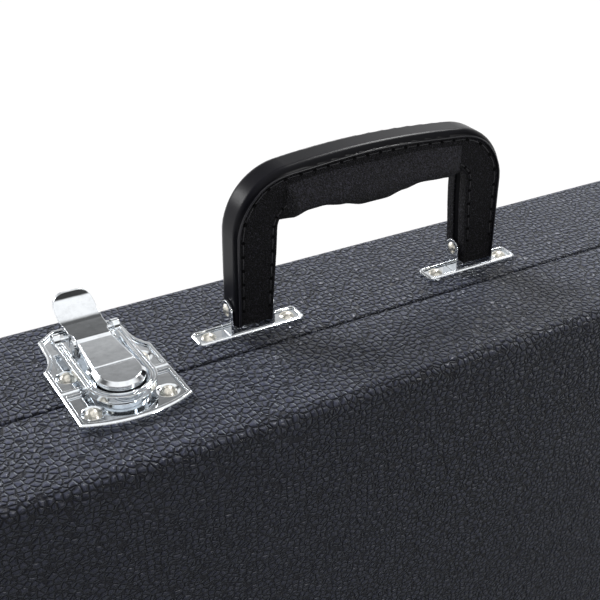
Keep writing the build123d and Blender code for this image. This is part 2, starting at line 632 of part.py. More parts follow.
def lever():
    """Lever with a rolled front knuckle, side flanges and the upturned finger curl."""
    top = LEVER_PIVOT_Z + LEVER_KNUCKLE_RADIUS
    shoulder_top = top + 0.6
    sheet = LEVER_SHEET
    spine = Curve() + [
        Line((LEVER_PIVOT_Y, top - sheet / 2), (LEVER_SHOULDER, shoulder_top - sheet / 2)),
        Spline(
            (LEVER_SHOULDER, shoulder_top - sheet / 2),
            (LEVER_SHOULDER + CURL_RUN, shoulder_top + CURL_RUN_RISE),
            (CURL_TIP_Y, CURL_TOP),
            tangents=[(1, 0.05), (0.3, 1)],
        ),
    ]
    ribbon = trace(spine, line_width=sheet)
    side_plane = Plane(origin=(-CURL_HALF, 0, 0), x_dir=(0, 1, 0), z_dir=(1, 0, 0))
    strap = extrude(side_plane * ribbon, amount=2 * CURL_HALF)
    ear_rear = LEVER_PIVOT_Y + LEVER_KNUCKLE_RADIUS + MOVING_GAP
    flange_front = ear_rear + LEVER_WIDENING
    right_side = [
        (LEVER_FRONT_HALF, LEVER_PIVOT_Y - LEVER_KNUCKLE_RADIUS),
        (LEVER_FRONT_HALF, ear_rear),
        (LEVER_REAR_HALF, flange_front),
        (LEVER_REAR_HALF, LEVER_SHOULDER),
        (CURL_HALF, LEVER_SHOULDER + LEVER_WIDENING),
        (CURL_HALF, CURL_TIP_Y + LEVER_SHEET),
    ]
    left_side = [(-x, y) for x, y in reversed(right_side)]
    front = Polygon(*right_side, *left_side, align=None)
    strap &= extrude(front, amount=2 * CURL_TOP)
    tip = Pos(0, 0) * RectangleRounded(2 * CURL_HALF, 2 * CURL_TOP, CURL_CORNER)
    strap &= slab(tip, CURL_TIP_Y + 5, 0)
    knuckle = rod(
        LEVER_KNUCKLE_RADIUS, -LEVER_FRONT_HALF, LEVER_FRONT_HALF, LEVER_PIVOT_Y, LEVER_PIVOT_Z
    )
    body = strap + knuckle
    profile = Polygon(
        (flange_front, top - sheet / 2),
        (LEVER_SHOULDER + 1, top - sheet / 2),
        (LEVER_SHOULDER + 1, BAIL_PIVOT_Z),
        (BAIL_PIVOT_Y + 2, LEVER_FLANGE_BOTTOM),
        (BAIL_PIVOT_Y - 3, LEVER_FLANGE_BOTTOM),
        (flange_front, BAIL_PIVOT_Z),
        align=None,
    )
    flange_half = LEVER_REAR_HALF - sheet / 2
    for side in (-1, 1):
        plane = Plane(origin=(side * flange_half, 0, 0), x_dir=(0, 1, 0), z_dir=(1, 0, 0))
        body += extrude(plane * profile, amount=sheet / 2, both=True)
    body -= rod(
        LEVER_PIN_RADIUS + RUNNING_FIT, -CURL_HALF, CURL_HALF, LEVER_PIVOT_Y, LEVER_PIVOT_Z
    )
    return body - rod(
        BAIL_PEG_RADIUS + RUNNING_FIT, -CURL_HALF, CURL_HALF, BAIL_PIVOT_Y, BAIL_PIVOT_Z
    )


def bail():
    """U-shaped bail of grooved strip, with eyes and pegs at its ends."""
    outer = BAIL_HALF_WIDTH
    inner = outer - BAIL_STRIP

    def u_shape(half):
        length = BAIL_PIVOT_Y - BAIL_ARC_Y
        return Pos(0, BAIL_ARC_Y) * Circle(half) + Pos(0, BAIL_ARC_Y + length / 2) * Rectangle(2 * half, length)

    height = BAIL_TOP - BAIL_BOTTOM
    strip = Pos(0, 0, BAIL_BOTTOM) * extrude(u_shape(outer) - u_shape(inner), amount=height)
    middle = (outer + inner) / 2
    groove = u_shape(middle + BAIL_GROOVE / 2) - u_shape(middle - BAIL_GROOVE / 2)
    strip = strip & (block(-outer, outer, -outer * 2, BAIL_PIVOT_Y, 0, BAIL_TOP))
    for side in (-1, 1):
        x_inner, x_outer = sorted((side * inner, side * outer))
        strip += rod(BAIL_EYE_RADIUS, x_inner, x_outer, BAIL_PIVOT_Y, BAIL_PIVOT_Z)
        peg_end = LEVER_FRONT_HALF - LEVER_SHEET / 2
        peg_from, peg_to = sorted((side * peg_end, side * (inner + 0.5)))
        strip += rod(BAIL_PEG_RADIUS, peg_from, peg_to, BAIL_PIVOT_Y, BAIL_PIVOT_Z)
    groove_stop = BAIL_PIVOT_Y - BAIL_EYE_RADIUS - 1
    cut = Pos(0, 0, BAIL_TOP - BAIL_GROOVE_DEPTH) * extrude(groove, amount=height)
    return strip - (cut & block(-outer, outer, -2 * outer, groove_stop, 0, 2 * BAIL_TOP))


def latches():
    """Four draw latches with their rivets and lever pins."""
    tray_rivets = []
    lid_rivets = []
    lever_pins = []
    base_solid = latch_base()
    catch_solid = catch_plate()
    lever_solid = lever()
    bail_solid = bail()
    pin_half = LEVER_FRONT_HALF + MOVING_GAP + EAR_THICKNESS
    pin = rod(LEVER_PIN_RADIUS, -pin_half, pin_half, LEVER_PIVOT_Y, LEVER_PIVOT_Z)
    head = Pos(0, 0, LATCH_PLATE_FLOOR - LATCH_SHEET / 2) * dome(LATCH_RIVET_RADIUS, RIVET_DOME + 0.6)
    for number, x in enumerate(LATCH_X, start=1):
        place = Pos(x, SEAM_Y, TOP_Z)
        nodes[f"latch_base_{number}"] = place * base_solid
        nodes[f"latch_catch_{number}"] = place * catch_solid
        nodes[f"latch_lever_{number}"] = place * lever_solid
        nodes[f"latch_bail_{number}"] = place * bail_solid
        lever_pins.append(place * pin)
        for side in (-1, 1):
            tray_rivets.append(place * Pos(side * TRAY_RIVET[0], TRAY_RIVET[1], 0) * head)
            lid_rivets.append(place * Pos(side * LID_RIVET[0], LID_RIVET[1], 0) * head)
    nodes["latch_rivets_tray"] = tray_rivets
    nodes["latch_rivets_lid"] = lid_rivets
    nodes["latch_lever_pins"] = lever_pins


case_half(1, TRAY_FACE_Y, "tray")
case_half(-1, LID_FACE_Y, "lid")
feet(1, TRAY_FOOT_SETBACK, "tray")
feet(-1, LID_FOOT_SETBACK, "lid")
hinges()
body_surrounds()
neck_rest()
compartment()
lid_pad()
handle()
handle_brackets()
latches()

os.makedirs("parts", exist_ok=True)
for name, shape in nodes.items():
    solids = shape if isinstance(shape, list) else [shape]
    whole = Compound(children=[solid for item in solids for solid in item.solids()])
    export_step(whole, f"parts/{name}.step")
print(len(nodes), "sub-parts written")
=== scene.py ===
"""Finishes and soft pieces of a hard case for an electric guitar, with a plain studio round it."""
import math

import bmesh
import bpy
from bpy.props import FloatProperty, FloatVectorProperty, PointerProperty
from mathutils import Matrix, Vector


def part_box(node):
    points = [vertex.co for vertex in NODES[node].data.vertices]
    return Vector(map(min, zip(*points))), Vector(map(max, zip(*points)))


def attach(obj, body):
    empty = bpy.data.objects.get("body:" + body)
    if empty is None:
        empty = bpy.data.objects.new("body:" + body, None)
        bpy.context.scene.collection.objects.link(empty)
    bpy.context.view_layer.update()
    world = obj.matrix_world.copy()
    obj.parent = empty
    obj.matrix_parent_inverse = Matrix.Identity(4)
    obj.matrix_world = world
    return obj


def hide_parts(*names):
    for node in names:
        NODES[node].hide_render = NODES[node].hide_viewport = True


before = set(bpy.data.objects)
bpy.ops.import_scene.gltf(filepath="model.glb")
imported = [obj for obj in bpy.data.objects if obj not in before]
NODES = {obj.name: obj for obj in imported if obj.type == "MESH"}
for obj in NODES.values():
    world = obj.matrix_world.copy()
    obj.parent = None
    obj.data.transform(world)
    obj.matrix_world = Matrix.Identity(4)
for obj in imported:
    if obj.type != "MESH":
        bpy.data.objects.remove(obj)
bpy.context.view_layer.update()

bl_info = {
    "name": "Guitar Case Dressing",
    "version": (1, 0, 0),
    "blender": (4, 5, 0),
    "location": "View3D > Sidebar > Guitar Case",
    "description": "Covering, handle leather, plush padding, metal finishes and a studio for a case",
    "category": "Add Mesh",
}


# Sizes and colours that a user would change

def length(label, about, default):
    """A length property in metres."""
    return FloatProperty(name=label, description=about, default=default, min=0.0, unit="LENGTH",
                         precision=5)


def colour(label, about, default):
    """A linear colour property."""
    return FloatVectorProperty(name=label, description=about, default=default, subtype="COLOR",
                               size=3, min=0.0, max=1.0)


class CaseSizes(bpy.types.PropertyGroup):
    """Sizes of the covered case halves and their lining."""
    corner: length("Corner radius", "Radius of the four corners seen from the front", 0.020)
    edge: length("Edge radius", "Radius round the front and back face", 0.007)
    seam_edge: length("Seam edge radius", "Rounding of the covering where it turns in", 0.0014)
    covering: length("Covering", "Thickness of the covering", 0.001)
    wall: length("Wall", "Covering and plywood together", 0.009)
    lining: length("Lining", "Thickness of the plush lining", 0.0015)
    lining_edge: length("Lining edge", "Radius where the lining turns into the floor", 0.003)


class HandleSizes(bpy.types.PropertyGroup):
    """Sizes of the handle's leather, core and grip, measured from the top of the case."""
    centre_x: length("Centre along the case", "How far the handle stands to the body end", 0.050)
    centre_y: length("Setback", "Distance of the handle's middle behind the origin", 0.0091)
    top: length("Top of the case", "Height of the surface under the handle", 0.388)
    leg_bottom: length("Leg bottom", "Lower end of the legs", 0.007)
    leather_width: length("Leather width", "Width of the leather at the top of the legs", 0.0196)
    pad_thickness: length("Pad thickness", "Thickness of each leather pad", 0.0056)
    depth: length("Depth", "Front to back over both pads", 0.0150)
    foot_half: length("Foot half width", "Middle of the leg at its lower end", 0.0638)
    shoulder_half: length("Shoulder half width", "Middle of the leg at its upper end", 0.0626)
    centre_top: length("Top line", "Height of the leather's middle line at the top", 0.07145)
    bend: length("Bend radius", "Radius of the leather's middle line at the corners", 0.0193)
    bend_height: length("Bend height", "Height where the corners begin", 0.0505)
    grip_left: length("Grip left", "Left end of the grip from the handle's middle", 0.049)
    grip_right: length("Grip right", "Right end of the grip from the handle's middle", 0.0495)
    grip_width: length("Grip width", "Front to back over the grip", 0.0222)
    stitch_pitch: length("Stitch pitch", "Distance from one stitch to the next", 0.0069)


class PadSizes(bpy.types.PropertyGroup):
    """How the foam pads swell under their plush."""
    voxel: length("Cell", "Size of the cells that a pad is divided into", 0.006)
    shrink: length("Start inset", "How far a pad starts inside its space", 0.0022)
    swell: length("Largest swell", "The most that a point may move", 0.0050)


class Finishes(bpy.types.PropertyGroup):
    """Base colours of the materials."""
    covering: colour("Covering", "Pebbled covering of the case", (0.042, 0.046, 0.070))
    leather: colour("Handle leather", "Fine-grained handle leather", (0.0070, 0.0068, 0.0092))
    band: colour("Handle band", "Moulded band round the handle", (0.0050, 0.0050, 0.0075))
    chrome: colour("Chrome", "Plated latches, brackets and hinges", (0.84, 0.87, 0.90))
    rivet: colour("Rivets", "Nickel rivets with a warm tint", (0.80, 0.77, 0.69))
    plush: colour("Plush", "Lining and pads", (0.030, 0.031, 0.036))
    plywood: colour("Plywood", "Board under the covering", (0.55, 0.38, 0.22))
    rubber: colour("Rubber", "Feet under the case", (0.020, 0.020, 0.021))
    zinc: colour("Zinc", "Screws in the feet", (0.62, 0.63, 0.64))
    thread: colour("Thread", "Thread of the stitches", (0.030, 0.030, 0.036))
    floor: colour("Floor", "Studio floor", (0.93, 0.93, 0.93))


class StudioSizes(bpy.types.PropertyGroup):
    """The camera."""
    lens: FloatProperty(name="Lens", description="Focal length in millimetres", default=65.01)
    camera: FloatVectorProperty(name="Camera", description="Place of the camera", size=3,
                                subtype="TRANSLATION", default=(-0.3148, -0.3755, 0.6517))
    azimuth: FloatProperty(name="Azimuth", description="Turn of the camera round the case",
                           default=math.radians(-30.70), subtype="ANGLE")
    elevation: FloatProperty(name="Elevation", description="Height angle of the camera",
                             default=math.radians(29.79), subtype="ANGLE")
    roll: FloatProperty(name="Roll", description="Tilt of the picture",
                        default=math.radians(0.716), subtype="ANGLE")


# Mesh helpers

def clear_selection():
    """Leave edit mode and deselect every object."""
    if bpy.context.mode != "OBJECT":
        bpy.ops.object.mode_set(mode="OBJECT")
    bpy.ops.object.select_all(action="DESELECT")


def pick(piece):
    """Make one object the only selected and active one."""
    clear_selection()
    piece.select_set(True)
    bpy.context.view_layer.objects.active = piece
    return piece


def keep_place(piece, name):
    """Name a new object and move its place, turn and size into its mesh."""
    piece.name = name
    piece.data.name = name
    pick(piece)
    bpy.ops.object.transform_apply(location=True, rotation=True, scale=True)
    return piece


def add_block(name, low, high):
    """A cube between two corners, ready to be shaped."""
    clear_selection()
    low = Vector(low)
    high = Vector(high)
    bpy.ops.mesh.primitive_cube_add(size=1, location=(low + high) / 2, scale=high - low)
    return keep_place(bpy.context.object, name)


def open_edit(piece, mode):
    """Enter edit mode with nothing selected."""
    pick(piece)
    bpy.ops.object.mode_set(mode="EDIT")
    bpy.ops.mesh.select_mode(type=mode)
    bpy.ops.mesh.select_all(action="DESELECT")
    return bmesh.from_edit_mesh(piece.data)


def choose(piece, mode, test):
    """Select the edges, faces or vertices that pass a test, in edit mode."""
    mesh = open_edit(piece, mode)
    items = {"VERT": mesh.verts, "EDGE": mesh.edges, "FACE": mesh.faces}[mode]
    found = [item for item in items if test(item)]
    if not found:
        raise RuntimeError("nothing to select on " + piece.name)
    for item in found:
        item.select_set(True)
    mesh.select_flush_mode()
    bmesh.update_edit_mesh(piece.data)
    return len(found)


def close_edit():
    """Leave edit mode."""
    bpy.ops.object.mode_set(mode="OBJECT")


def runs_along(axis, least=0.01):
    """A test for edges that run along one axis, 0 for X and 1 for Y."""
    return lambda edge: abs(edge.verts[0].co[axis] - edge.verts[1].co[axis]) > least


def divide_length(piece, cuts, least=0.01):
    """Divide a straight piece along X into even parts."""
    choose(piece, "EDGE", runs_along(0, least))
    bpy.ops.mesh.subdivide(number_cuts=cuts)
    close_edit()


def bevel_edges(piece, test, width, segments):
    """Bevel the edges that pass a test."""
    choose(piece, "EDGE", test)
    bpy.ops.mesh.bevel(offset=width, segments=segments, profile=0.5, affect="EDGES",
                       clamp_overlap=False)
    close_edit()


def use_modifier(piece, kind, **settings):
    """Add a modifier with its settings and apply it."""
    pick(piece)
    modifier = piece.modifiers.new(kind.title(), kind)
    for key, value in settings.items():
        setattr(modifier, key, value)
    bpy.ops.object.modifier_apply(modifier=modifier.name)


def smooth(piece, degrees=35):
    """Smooth shading up to an angle."""
    pick(piece)
    bpy.ops.object.shade_smooth_by_angle(angle=math.radians(degrees))


def outward(piece):
    """Merge doubles and turn all faces outwards."""
    open_edit(piece, "VERT")
    bpy.ops.mesh.select_all(action="SELECT")
    bpy.ops.mesh.remove_doubles(threshold=0.00001)
    bpy.ops.mesh.normals_make_consistent(inside=False)
    close_edit()


def join(pieces, name):
    """Join several objects into the first one."""
    clear_selection()
    for piece in pieces:
        piece.select_set(True)
    bpy.context.view_layer.objects.active = pieces[0]
    bpy.ops.object.join()
    pieces[0].name = name
    pieces[0].data.name = name
    return pieces[0]


def twin(piece, name):
    """A copy with its own mesh."""
    copy = piece.copy()
    copy.data = piece.data.copy()
    copy.name = name
    copy.data.name = name
    bpy.context.scene.collection.objects.link(copy)
    return copy


def finish_piece(piece, body, slot, material, *replaced):
    """Set a piece on its body with its finish, in place of CAD nodes."""
    piece.data.materials.clear()
    piece.data.materials.append(material)
    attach(piece, body)
    if replaced:
        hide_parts(*replaced)
    return piece


# Shader helpers

class Wire:
    """A shader output that can be used in Python arithmetic; each step adds a Math node."""

    def __init__(self, graph, output):
        self.graph = graph
        self.output = output

    def combine(self, operation, first, second):
        return self.graph.add("ShaderNodeMath", {"operation": operation}, [first, second])

    def __add__(self, other):
        return self.combine("ADD", self, other)

    def __radd__(self, other):
        return self.combine("ADD", other, self)

    def __sub__(self, other):
        return self.combine("SUBTRACT", self, other)

    def __rsub__(self, other):
        return self.combine("SUBTRACT", other, self)

    def __mul__(self, other):
        return self.combine("MULTIPLY", self, other)

    def __rmul__(self, other):
        return self.combine("MULTIPLY", other, self)

    def larger(self, other):
        """The larger of two values."""
        return self.combine("MAXIMUM", self, other)

    def part(self, name):
        """Another output of the same node."""
        return Wire(self.graph, self.output.node.outputs[name])


class Graph:
    """The node tree of a material or of the world."""

    def __init__(self, owner):
        owner.use_nodes = True
        self.tree = owner.node_tree
        self.tree.nodes.clear()

    def add(self, kind, settings, values, output=0):
        """Add a node, set its settings, then its sockets, and return one output."""
        node = self.tree.nodes.new(kind)
        for key, value in settings.items():
            setattr(node, key, value)
        pairs = values.items() if isinstance(values, dict) else enumerate(values)
        for key, value in pairs:
            socket = node.inputs[key]
            if isinstance(value, Wire):
                self.tree.links.new(value.output, socket)
            elif isinstance(value, tuple) and len(value) == 3 and socket.type == "RGBA":
                socket.default_value = (*value, 1)
            else:
                socket.default_value = value
        return Wire(self, node.outputs[output]) if node.outputs else None

    def place(self, scale=(1, 1, 1), warp=0.0, warp_scale=1.0):
        """Object coordinates, stretched and optionally disturbed by noise."""
        here = self.add("ShaderNodeTexCoord", {}, {}, "Object")
        spot = self.add("ShaderNodeMapping", {}, {"Vector": here, "Scale": scale})
        if not warp:
            return spot
        swirl = self.add("ShaderNodeTexNoise", {}, {"Vector": spot, "Scale": warp_scale,
                                                    "Detail": 2.0}, "Color")
        centred = self.add("ShaderNodeVectorMath", {"operation": "SUBTRACT"},
                           [swirl, (0.5, 0.5, 0.5)])
        shift = self.add("ShaderNodeVectorMath", {"operation": "SCALE"},
                         {0: centred, "Scale": warp})
        return self.add("ShaderNodeVectorMath", {"operation": "ADD"}, [spot, shift])

    def noise(self, vector, scale, detail=3.0, roughness=0.55):
        """Fractal noise from 0 to 1."""
        return self.add("ShaderNodeTexNoise", {}, {"Vector": vector, "Scale": scale,
                                                   "Detail": detail, "Roughness": roughness})

    def cells(self, vector, scale, feature="DISTANCE_TO_EDGE", randomness=0.9):
        """Distance to the edge of irregular cells."""
        return self.add("ShaderNodeTexVoronoi", {"feature": feature},
                        {"Vector": vector, "Scale": scale, "Randomness": randomness}, "Distance")

    def spread(self, value, low, high, to_low=0.0, to_high=1.0):
        """Map a range to another range with soft ends."""
        return self.add("ShaderNodeMapRange", {"interpolation_type": "SMOOTHSTEP"},
                        {"Value": value, "From Min": low, "From Max": high,
                         "To Min": to_low, "To Max": to_high})

    def blend(self, factor, first, second):
        """Mix two colours."""
        mixed = self.add("ShaderNodeMix", {"data_type": "RGBA"}, {"Factor": factor}, 2)
        node = mixed.output.node
        for socket, value in ((node.inputs[6], first), (node.inputs[7], second)):
            if isinstance(value, Wire):
                self.tree.links.new(value.output, socket)
            else:
                socket.default_value = (*value, 1)
        return mixed

    def bump(self, height, distance, strength=1.0, normal=None):
        """A Bump node for a height in units of the distance."""
        values = {"Height": height, "Distance": distance, "Strength": strength}
        if normal:
            values["Normal"] = normal
        return self.add("ShaderNodeBump", {}, values)

    def surface(self, **values):
        """The Principled shader and the output."""
        sockets = {key.replace("_", " "): value for key, value in values.items()}
        shader = self.add("ShaderNodeBsdfPrincipled", {}, sockets)
        self.add("ShaderNodeOutputMaterial", {}, {"Surface": shader})
        return shader


def shade(colour_value, factor):
    """A colour made lighter or darker."""
    return tuple(min(1.0, channel * factor) for channel in colour_value)


def new_graph(name):
    """A new material and its node tree."""
    material = bpy.data.materials.new("case_" + name)
    return material, Graph(material)


# Materials

def make_covering():
    """Pebbled leathercloth: irregular pebbles with painted shade in their narrow creases, painted
    highlights on some pebble tops, and a soft sheen.
    """
    base = bpy.context.scene.case_finishes.covering
    material, graph = new_graph("pebbled_covering")
    spot = graph.place((0.96, 0.88, 1.18), 0.0008, 300)
    edge = graph.cells(spot, 350, "DISTANCE_TO_EDGE", 0.78)
    crease = graph.spread(edge, 0.01, 0.20)
    pillow = graph.spread(edge, 0.0, 0.50)
    fine = graph.noise(graph.place(), 1900, 3.0)
    level = graph.noise(spot, 300, 1.0)
    broad = graph.noise(graph.place(), 9, 3.0)
    height = crease * 0.85 + pillow * 0.42 + level * 0.10 + fine * 0.04
    # Painted shade: the creases between the pebbles are painted nearly black.
    tone = graph.blend(crease, shade(base, 0.10), shade(base, 1.55))
    tone = graph.blend(graph.spread(broad, 0.35, 0.7, 0.0, 0.3), tone, shade(base, 0.85))
    # Painted highlight: the raised tops of some pebbles are painted about twice as light.
    tone = graph.blend(graph.spread(pillow * level, 0.38, 0.62, 0.0, 0.6), tone, shade(base, 2.1))
    graph.surface(Base_Color=tone, Roughness=0.43 - pillow * 0.20 + fine * 0.05,
                  Specular_IOR_Level=0.19, Sheen_Weight=0.32, Sheen_Roughness=0.30,
                  Sheen_Tint=(0.8, 0.88, 1.0), Normal=graph.bump(height, 0.0014, 1.0))
    return material


def make_leather(name="handle_leather", painted_light_shift=None, gloss=0.20):
    """Fine-grained handle leather: small pebbles, pale specks and faint wrinkles; painted light and
    shade may shift the specks.
    """
    base = bpy.context.scene.case_finishes.leather
    material, graph = new_graph(name)
    spot = graph.place((1, 1, 1), 0.0008, 600)
    edge = graph.cells(spot, 900, "DISTANCE_TO_EDGE", 1.0)
    grain = graph.spread(edge, 0.0, 0.30)
    dust = graph.noise(graph.place(), 1000, 4.0, 0.7)
    wrinkle = graph.noise(graph.place((1, 1, 2), 0.004, 90), 110, 4.0)
    height = grain * 0.9 + dust * 0.8 + wrinkle * 1.4
    tone = graph.blend(grain, shade(base, 0.35), shade(base, 1.1))
    speck = graph.noise(graph.place(), 1050, 4.0, 0.75)
    # Painted light and shade: an optional shift of the pale specks, more where a face catches light
    # and fewer where it is shaded.
    if painted_light_shift:
        speck = speck + painted_light_shift(graph)
    tone = graph.blend(graph.spread(speck, 0.535, 0.61, 0.0, 0.95), tone, shade(base, 7.5))
    tone = graph.blend(graph.spread(speck, 0.63, 0.70, 0.0, 0.8), tone, shade(base, 15.0))
    graph.surface(Base_Color=tone, Roughness=0.56 + wrinkle * 0.14, Specular_IOR_Level=gloss,
                  Normal=graph.bump(height, 0.00085, 1.0))
    return material


def make_grip_leather():
    """The same leather, with more pale specks on its upper face as painted light, and fewer at the
    left fold and underneath as painted shade.
    """
    sizes = bpy.context.scene.case_handle

    def painted_light_shift(graph):
        here = graph.add("ShaderNodeTexCoord", {}, {}, "Object")
        along = graph.add("ShaderNodeSeparateXYZ", {}, {"Vector": here}, "X")
        fold = sizes.grip_left + sizes.centre_x
        low = sizes.top + 0.056
        slant = along + fold + (along.part("Z") - low) * 0.20
        # Painted shade: fewer pale specks at the left fold and along the underside; painted light:
        # more on the face above.
        return (graph.spread(slant, 0.0045, 0.0075, -0.06, 0.0)
                + graph.spread(along.part("Z"), low, low + 0.007, -0.02, 0.085))

    return make_leather("grip_leather", painted_light_shift, 0.32)


def make_band(name="handle_band", level=1.0, gloss=0.09):
    """Moulded satin plastic, with a faint flow pattern."""
    # level scales the plastic's colour; the lip's 2.0 is a painted highlight.
    base = shade(bpy.context.scene.case_finishes.band, level)
    material, graph = new_graph(name)
    fine = graph.noise(graph.place(), 900, 3.0)
    broad = graph.noise(graph.place((1, 1, 1), 0.01, 20), 30, 3.0)
    tone = graph.blend(graph.spread(broad, 0.35, 0.7), shade(base, 0.85), shade(base, 1.3))
    graph.surface(Base_Color=tone, Roughness=0.26 + fine * 0.05 + broad * 0.05,
                  Specular_IOR_Level=gloss, Normal=graph.bump(fine, 0.00003, 0.6))
    return material


def make_bead():
    """The band's glossy lip along the leather: the band's plastic painted twice as light, as a
    painted highlight.
    """
    # Painted highlight: level 2.0 paints the lip twice as light as the band.
    return make_band("glossy_lip", 2.0, 0.4)


def make_chrome(name="bright_chrome", tint=1.0, rough=0.045):
    """Plated steel: bright, with the faint waves of stamped sheet and light smudges."""
    base = bpy.context.scene.case_finishes.chrome
    material, graph = new_graph(name)
    wave = graph.noise(graph.place(), 120, 2.0)
    smudge = graph.noise(graph.place((1, 1, 1), 0.003, 60), 210, 4.0)
    soft = graph.add("ShaderNodeBevel", {"samples": 6}, {"Radius": 0.0005})
    tone = graph.blend(graph.spread(smudge, 0.4, 0.75), shade(base, tint), shade(base, 0.88 * tint))
    graph.surface(Base_Color=tone, Metallic=1.0, Roughness=rough + smudge * 0.05,
                  Normal=graph.bump(wave, 0.0002, 0.16, soft))
    return material


def make_rivet():
    """Nickel rivets with a warm tint, brushed and dulled in spots."""
    base = bpy.context.scene.case_finishes.rivet
    material, graph = new_graph("warm_rivet")
    spots = graph.noise(graph.place(), 900, 4.0)
    wave = graph.noise(graph.place(), 260, 2.0)
    tone = graph.blend(graph.spread(spots, 0.4, 0.65), base, shade(base, 0.62))
    graph.surface(Base_Color=tone, Metallic=1.0, Roughness=0.20 + spots * 0.22,
                  Normal=graph.bump(wave, 0.0002, 0.5))
    return material


def make_plush():
    """Short plush with tufts that lie in changing directions."""
    base = bpy.context.scene.case_finishes.plush
    material, graph = new_graph("plush")
    tuft = graph.noise(graph.place((1, 1, 1), 0.002, 260), 1500, 3.0, 0.7)
    nap = graph.noise(graph.place((1, 1, 1), 0.02, 14), 26, 4.0)
    tone = graph.blend(graph.spread(tuft, 0.35, 0.68), shade(base, 0.5), shade(base, 1.5))
    tone = graph.blend(graph.spread(nap, 0.42, 0.62, 0.0, 0.6), tone, shade(base, 1.9))
    graph.surface(Base_Color=tone, Roughness=0.92 - nap * 0.08, Specular_IOR_Level=0.15,
                  Sheen_Weight=0.35, Sheen_Roughness=0.45,
                  Normal=graph.bump(tuft + nap * 0.8, 0.0012, 0.7))
    return material


def make_plywood():
    """Plywood: pale layers across the thickness, with streaks along the grain."""
    base = bpy.context.scene.case_finishes.plywood
    material, graph = new_graph("plywood")
    here = graph.place((1, 1, 1), 0.002, 30)
    layers = graph.add("ShaderNodeTexWave", {"bands_direction": "Y"},
                       {"Vector": here, "Scale": 190.0, "Distortion": 1.2, "Detail": 2.0}, 1)
    streak = graph.noise(graph.place((8, 240, 240)), 1.0, 5.0)
    tone = graph.blend(graph.spread(layers, 0.3, 0.7), base, shade(base, 0.62))
    tone = graph.blend(graph.spread(streak, 0.45, 0.7, 0.0, 0.5), tone, shade(base, 0.45))
    graph.surface(Base_Color=tone, Roughness=0.72 + streak * 0.12,
                  Normal=graph.bump(streak, 0.0003, 0.5))
    return material


def make_rubber():
    """Moulded rubber with a dusty bloom."""
    base = bpy.context.scene.case_finishes.rubber
    material, graph = new_graph("rubber")
    bloom = graph.noise(graph.place((1, 1, 1), 0.004, 50), 140, 5.0)
    grain = graph.noise(graph.place(), 1700, 2.0)
    tone = graph.blend(graph.spread(bloom, 0.45, 0.75), base, shade(base, 1.9))
    graph.surface(Base_Color=tone, Roughness=0.66 + bloom * 0.16, Specular_IOR_Level=0.4,
                  Normal=graph.bump(grain, 0.00015, 0.6))
    return material


def make_zinc():
    """Zinc-plated screws with fine turning marks."""
    base = bpy.context.scene.case_finishes.zinc
    material, graph = new_graph("zinc_screw")
    brush = graph.noise(graph.place((30, 900, 900)), 1.0, 3.0)
    graph.surface(Base_Color=graph.blend(brush, base, shade(base, 0.6)), Metallic=1.0,
                  Roughness=0.28 + brush * 0.16, Normal=graph.bump(brush, 0.00008, 0.5))
    return material


def make_thread():
    """Waxed thread with its twist."""
    base = bpy.context.scene.case_finishes.thread
    material, graph = new_graph("waxed_thread")
    twist = graph.noise(graph.place((1, 1, 1), 0.0006, 900), 4200, 2.0)
    graph.surface(Base_Color=graph.blend(twist, shade(base, 0.6), shade(base, 1.6)),
                  Roughness=0.50 + twist * 0.15, Normal=graph.bump(twist, 0.00012, 0.6))
    return material


def make_core_plastic():
    """Dull dark plastic between the leather pads, painted darker than the band as painted shade in
    the recess between them.
    """
    # Painted shade: the band's colour at 0.4, darker for the recess between the pads.
    base = shade(bpy.context.scene.case_finishes.band, 0.4)
    material, graph = new_graph("core_plastic")
    fine = graph.noise(graph.place(), 700, 4.0)
    graph.surface(Base_Color=graph.blend(fine, shade(base, 0.7), shade(base, 1.5)),
                  Roughness=0.60 + fine * 0.12, Specular_IOR_Level=0.04,
                  Normal=graph.bump(fine, 0.00006, 0.6))
    return material


def make_stitch_hole():
    """The inside of a stitch hole: near black, painted shade for the depth of the hole."""
    # Painted shade: the thread's colour at 0.08 stands in for the shade inside the hole.
    base = shade(bpy.context.scene.case_finishes.thread, 0.08)
    material, graph = new_graph("stitch_hole")
    fuzz = graph.noise(graph.place(), 2600, 3.0)
    graph.surface(Base_Color=graph.blend(fuzz, shade(base, 0.6), shade(base, 1.6)),
                  Roughness=0.85 + fuzz * 0.1, Specular_IOR_Level=0.1,
                  Normal=graph.bump(fuzz, 0.0001, 0.5))
    return material


MADE = {}


def finish(name):
    """The material for one finish, made the first time that it is asked for."""
    makers = {
        "pebbled_covering": make_covering,
        "handle_leather": make_leather,
        "grip_leather": make_grip_leather,
        "handle_band": make_band,
        "glossy_lip": make_bead,
        "bright_chrome": make_chrome,
        "warm_rivet": make_rivet,
        "plush": make_plush,
        "plywood": make_plywood,
        "rubber": make_rubber,
        "zinc_screw": make_zinc,
        "waxed_thread": make_thread,
        "core_plastic": make_core_plastic,
        "stitch_hole": make_stitch_hole,
    }
    if name not in MADE:
        MADE[name] = makers[name]()
    return MADE[name]


# Case halves

def lies_on(plane_y):
    """A test for edges and faces that lie in a plane square to Y."""
    return lambda part: all(abs(vertex.co.y - plane_y) < 0.00005 for vertex in part.verts)


def covered_half(name, side):
    """One half's covering: a rounded box open at the seam, its edge turned in over the board."""
    sizes = bpy.context.scene.case_sizes
    low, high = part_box(name)
    rim_y, face_y = (low.y, high.y) if side > 0 else (high.y, low.y)
    piece = add_block(name.replace("_covering", "_leathercloth"), low, high)
    bevel_edges(piece, runs_along(1), sizes.corner, 10)
    bevel_edges(piece, lies_on(face_y), sizes.edge, 8)
    bevel_edges(piece, lies_on(rim_y), sizes.seam_edge, 4)
    choose(piece, "FACE", lies_on(rim_y))
    bpy.ops.mesh.inset(thickness=sizes.wall - sizes.seam_edge, depth=0)
    bpy.ops.mesh.delete(type="FACE")
    close_edit()
    use_modifier(piece, "SOLIDIFY", thickness=sizes.covering, offset=-1, use_even_offset=True)
    smooth(piece, 30)
    return piece


